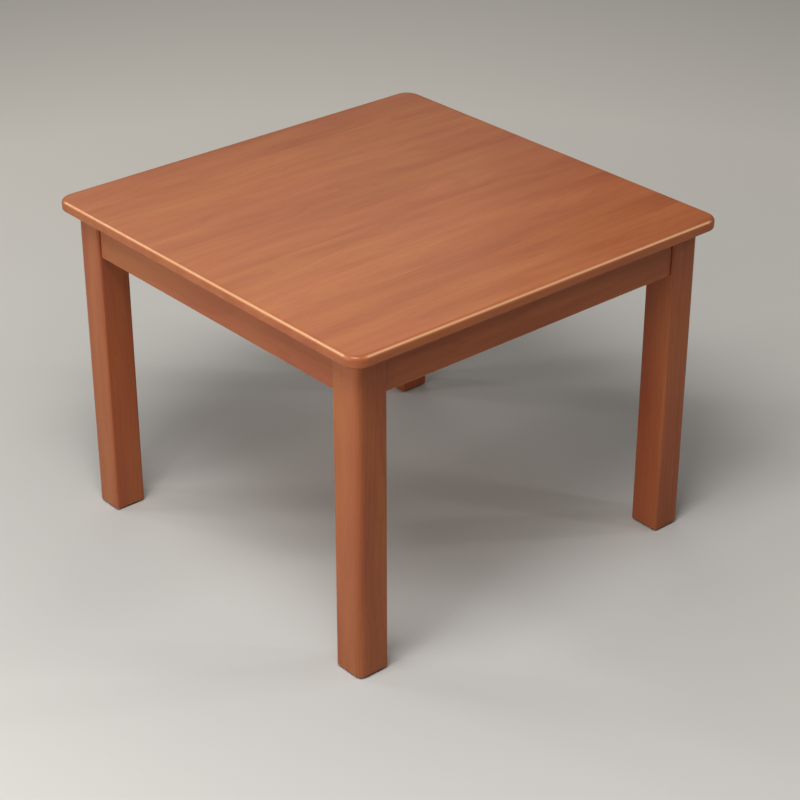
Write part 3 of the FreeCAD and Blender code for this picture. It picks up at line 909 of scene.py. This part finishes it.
@dataclass
class CornerBolts:
    """The two hanger bolts of each corner with their washers and nuts, on the diagonal through the leg."""

    middle: float = 430.5
    heights: tuple[float, float] = (661.0, 697.0)
    leg_flat: float = 36.06
    bolt_start: float = -8.94
    washer_seat: float = 67.06
    nut_seat: float = 68.66
    nut_end: float = 75.16
    bolt_end: float = 79.16
    bolt_radius: float = 4.0
    bolt_end_radius: float = 2.9
    point_radius: float = 0.3
    point_length: float = 6.0
    shank_margin: float = 0.5
    bore_radius: float = 4.2
    washer_radius: float = 10.0
    washer_ease: float = 0.3
    nut_half_width: float = 6.5
    nut_face_radius: float = 6.2
    nut_bevel: float = 0.8
    nut_sink: float = 0.5
    pitch: float = 1.25
    thread_depth: float = 0.65
    rings_per_turn: int = 6
    bevel_steps: int = 6
    points: int = 48

    @property
    def angles(self) -> np.ndarray:
        """The angles of the points of a ring, all the way round."""
        return np.arange(self.points) * (2 * math.pi / self.points)

    def place(self, corner: Corner, radius: np.ndarray, reach: np.ndarray) -> np.ndarray:
        """Stand a turned shape on both bolt lines of a corner.

        A place is the leg's axis, plus the reach along the diagonal into the table, plus the radius along a
        spoke across the diagonal, at each bolt's height.

        Args:
            corner: the corner of the table.
            radius: distance from the bolt's axis, shaped rings x points.
            reach: distance of each ring from the leg's axis.

        Returns:
            Places shaped bolts x rings x points x 3.
        """
        up = np.array([0.0, 0.0, 1.0])
        outward = np.array([*corner.value, 0.0])
        inward = -outward / math.sqrt(2)
        spokes = np.outer(np.cos(self.angles), np.cross(up, inward)) + np.outer(np.sin(self.angles), up)
        rings = self.middle * outward + reach[:, None, None] * inward + radius[..., None] * spokes
        return rings + np.array(self.heights)[:, None, None, None] * up

    def bolt(self) -> tuple[np.ndarray, np.ndarray]:
        """Draw the bolt: a point and a plain shank in the leg, then a machine thread to a bevelled end.

        The thread's radius falls from the crest by the thread depth times a triangle wave of reach over
        pitch less the share of a turn, which winds it into a helix.

        Returns:
            Radius shaped rings x points, and reach of each ring.
        """
        thread = np.arange(self.leg_flat, self.bolt_end, self.pitch / self.rings_per_turn)
        thread = np.append(thread[:-1], self.bolt_end)
        turn = self.angles / (2 * math.pi)
        wave = np.abs(2 * ((thread[:, None] / self.pitch - turn) % 1.0) - 1)
        bevel = self.bolt_end_radius + (self.bolt_end - thread)[:, None]
        cut = np.minimum(self.bolt_radius - self.thread_depth * wave, bevel)
        shank = np.array([self.point_radius, self.bolt_radius, self.bolt_radius])
        start = self.bolt_start
        plain = [start, start + self.point_length, self.leg_flat - self.shank_margin]
        radius = np.concatenate([shank[:, None] * np.ones(self.points), cut])
        return radius, np.concatenate([plain, thread])

    def washer(self) -> tuple[np.ndarray, np.ndarray]:
        """Draw the washer: a stamped ring whose outer edge is eased on both faces.

        Returns:
            Radius shaped rings x points, and reach of each ring.
        """
        outer, bore, ease = self.washer_radius, self.bore_radius, self.washer_ease
        radius = np.array([bore, outer - ease, outer, outer, outer - ease, bore])
        seat, end = self.washer_seat, self.nut_seat
        reach = np.array([seat, seat, seat + ease, end - ease, end, end])
        return radius[:, None] * np.ones(self.points), reach

    def nut(self) -> tuple[np.ndarray, np.ndarray]:
        """Draw the nut: a hexagon bevelled at 30 degrees on both faces, with a countersunk bore.

        The radius is the smaller of the hexagon, which is half its width over the cosine of the angle from
        the nearest flat, and a cone that widens from each face.

        Returns:
            Radius shaped rings x points, and reach of each ring.
        """
        from_flat = (self.angles - math.pi / 4) % (math.pi / 3) - math.pi / 6
        hexagon = self.nut_half_width / np.cos(from_flat)
        depth = np.linspace(0.0, self.nut_bevel, self.bevel_steps + 1)
        bevel = np.minimum(hexagon, (self.nut_face_radius + depth * math.sqrt(3))[:, None])
        bore = np.full((1, self.points), self.bore_radius)
        mouth = bore + self.nut_sink
        radius = np.concatenate([mouth, bevel, bevel[::-1], mouth, bore, bore])
        seat, end = self.nut_seat, self.nut_end
        sunk = [end, end - self.nut_sink, seat + self.nut_sink]
        return radius, np.concatenate([[seat], seat + depth, (end - depth)[::-1], sunk])

    def build(self) -> None:
        """Turn the three shapes into each corner and plate them."""
        zinc = CLEAR_ZINC.make()
        shapes = {
            "hanger_bolts": (*self.bolt(), False),
            "bolt_washers": (*self.washer(), True),
            "bolt_nuts": (*self.nut(), True),
        }
        for corner in Corner:
            for kind, (radius, reach, hollow) in shapes.items():
                name = f"{kind}_{corner.node_end}"
                rings = self.place(corner, radius, reach)
                piece = solid_from_rings(f"{name}_shaped", rings, np.zeros(rings.shape[:-1]), hollow)
                fit_piece(piece, zinc, "zinc_steel", name)


@dataclass
class Fittings:
    """The inner blocks and rail, the screws, clips, dowels and glides, which keep their CAD shapes."""

    rail_cut: tuple[float, float, float] = (700.0, 80.0, -600.0)
    dowel_cut: tuple[float, float, float] = (1500.0, 240.0, -610.0)
    block_cut: tuple[float, float, float] = (300.0, 900.0, -560.0)
    dowel_tone: float = 0.08
    block_tone: float = 0.02

    def build(self) -> None:
        """Give each remaining CAD node its finish."""
        zinc, gold, plastic = CLEAR_ZINC.make(), YELLOW_ZINC.make(), GLIDE_PLASTIC.make()
        finishes = {
            "top_clips": zinc,
            "block_screws": gold,
            "clip_screws": gold,
            "rail_screws": gold,
            "foot_glide": plastic,
            "centre_rail": PLANED.make("centre_rail", GrainAxis.ALONG_Y, self.rail_cut, 0.0),
            "rail_dowels": PLANED.make("dowel", GrainAxis.ALONG_Y, self.dowel_cut, self.dowel_tone),
        }
        # The grain of a block runs along it, across the corner.
        for corner in Corner:
            grain = GrainAxis.FALLING if corner.value[0] == corner.value[1] else GrainAxis.RISING
            name = f"corner_block_{corner.node_end}"
            finishes[name] = PLANED.make(name, grain, self.block_cut, self.block_tone)
        for name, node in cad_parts.items():
            finish = next((finish for start, finish in finishes.items() if name.startswith(start)), None)
            if finish is None:
                continue
            node.data.materials.clear()
            node.data.materials.append(finish)
            log.info("%s: kept, %s", name, finish.name)


@dataclass(frozen=True)
class Softbox:
    """A rectangular studio light that faces the middle of the table, with its power in watts."""

    name: str
    place: tuple[float, float, float]
    width: float
    height: float
    power: float
    colour: str = "#FFF9F0"
    target: tuple[float, float, float] = (0.0, 0.0, 550.0)

    def hang(self) -> None:
        """Hang the light in its place, with its face turned towards the table."""
        light = bpy.data.lights.new(self.name, "AREA")
        light.shape = "RECTANGLE"
        light.size, light.size_y = self.width * MM, self.height * MM
        light.energy = self.power
        light.color = linear(self.colour)[:3]
        lamp = bpy.data.objects.new(self.name, light)
        away = np.array(self.place) - np.array(self.target)
        dip = math.atan2(away[2], math.hypot(away[0], away[1]))
        lamp.location = [step * MM for step in self.place]
        lamp.rotation_euler = (math.pi / 2 - dip, 0.0, math.atan2(away[0], -away[1]))
        bpy.context.scene.collection.objects.link(lamp)


@dataclass
class Studio:
    """A pale floor, soft light from high and low on the left, weak lights behind and right, a camera."""

    lens: float = 96.0
    sensor: float = 36.0
    view_metres: float = 200.0
    camera_place: tuple[float, float, float] = (-2687.2, -3162.9, 2555.2)
    camera_yaw: float = -40.786
    camera_dip: float = 28.686
    floor_reach: float = 30000.0
    floor_drop: float = 0.2
    floor_far: str = "#F6F6F5"
    floor_near: str = "#C8CBCE"
    floor_roughness: float = 0.8
    paling_metres: float = 6.0
    paling_places: tuple[float, float] = (0.58, 0.88)
    sky: str = "#F2F1EE"
    sky_strength: float = 0.14
    # Deeper darks and brighter lights, as a print has, in pairs of light in and light out.
    tone: tuple[tuple[float, float], ...] = (
        (0.03, 0.019),
        (0.06, 0.046),
        (0.16, 0.155),
        (0.35, 0.374),
        (0.52, 0.570),
        (0.83, 0.871),
    )
    softboxes: tuple[Softbox, ...] = (
        Softbox("key_left", (-1400.0, -900.0, 3500.0), 1500.0, 1500.0, 77.0),
        Softbox("low_left", (-3200.0, -300.0, 1600.0), 2000.0, 1600.0, 31.0),
        Softbox("small_near", (-1700.0, 1600.0, 2500.0), 350.0, 350.0, 7.0),
        Softbox("small_far", (-1630.0, 2900.0, 2560.0), 350.0, 350.0, 8.0),
        Softbox("wide_back", (1750.0, 3100.0, 3000.0), 2400.0, 1200.0, 8.0, "#FFEFCF"),
        Softbox("wash_back", (2600.0, 4600.0, 3000.0), 4000.0, 1500.0, 7.0),
        Softbox("strip_near", (1800.0, -2600.0, 3400.0), 250.0, 700.0, 9.0),
        Softbox("strip_far", (3600.0, -2600.0, 3400.0), 250.0, 700.0, 14.0),
    )

    def floor(self) -> None:
        """Lay a flat square of pale paint: X and Y are the two parameters and Z is just under the feet."""
        reach = self.floor_reach
        x, y = np.meshgrid(np.array([-reach, reach]), np.array([-reach, reach]))
        corners = np.stack([x, y, np.full_like(x, -self.floor_drop)], axis=-1).reshape(-1, 3) * MM
        mesh = bpy.data.meshes.new("floor")
        mesh.from_pydata(corners.tolist(), [], [[0, 1, 3, 2]])
        material, tree = new_material("matt_floor_paint_rolled")
        place = add_node(tree, "TexCoord").outputs["Object"]
        # Rolled matt paint has no shine and no pattern. It pales away from the table, so the floor looks
        # even as the lights fall off.
        scale = (1 / self.paling_metres,) * 3
        spread = add_node(tree, "Mapping", {"Vector": place, "Scale": scale}).outputs[0]
        centre = add_node(tree, "TexGradient", {"Vector": spread}, gradient_type="SPHERICAL").outputs["Fac"]
        shades = list(zip(self.paling_places, (self.floor_far, self.floor_near)))
        colour = add_node(tree, "ValToRGB", {"Fac": centre}, shades)
        paint = {"Base Color": colour.outputs["Color"], "Roughness": self.floor_roughness}
        shader = add_node(tree, "BsdfPrincipled", paint)
        add_node(tree, "OutputMaterial", {"Surface": shader.outputs[0]})
        mesh.materials.append(material)
        floor = bpy.data.objects.new("floor", mesh)
        bpy.context.scene.collection.objects.link(floor)

    def build(self) -> None:
        """Set the floor, the lights, the pale surroundings and the camera."""
        self.floor()
        for softbox in self.softboxes:
            softbox.hang()
        world = bpy.data.worlds.new("pale_studio")
        world.use_nodes = True
        world.node_tree.nodes.clear()
        sky = add_node(
            world.node_tree, "Background", {"Color": linear(self.sky), "Strength": self.sky_strength}
        )
        add_node(world.node_tree, "OutputWorld", {"Surface": sky.outputs[0]})
        scene = bpy.context.scene
        scene.world = world
        scene.view_settings.view_transform = "Standard"
        scene.view_settings.use_curve_mapping = True
        curve = scene.view_settings.curve_mapping
        for light_in, light_out in self.tone:
            curve.curves[COMBINED_CURVE].points.new(light_in, light_out)
        curve.update()
        lens = bpy.data.cameras.new("photo_view")
        lens.lens = self.lens
        lens.sensor_width = self.sensor
        lens.clip_end = self.view_metres
        camera = bpy.data.objects.new("photo_view", lens)
        camera.location = [step * MM for step in self.camera_place]
        camera.rotation_euler = (math.radians(90 - self.camera_dip), 0.0, math.radians(self.camera_yaw))
        scene.collection.objects.link(camera)
        scene.camera = camera


def main() -> None:
    """Build the table from the top down, then the studio."""
    logging.basicConfig(level=logging.INFO, format="%(name)s: %(message)s")
    for assembly in (Tabletop(), Legs(), Aprons(), CornerBolts(), Fittings(), Studio()):
        assembly.build()


if __name__ == "__main__":
    main()
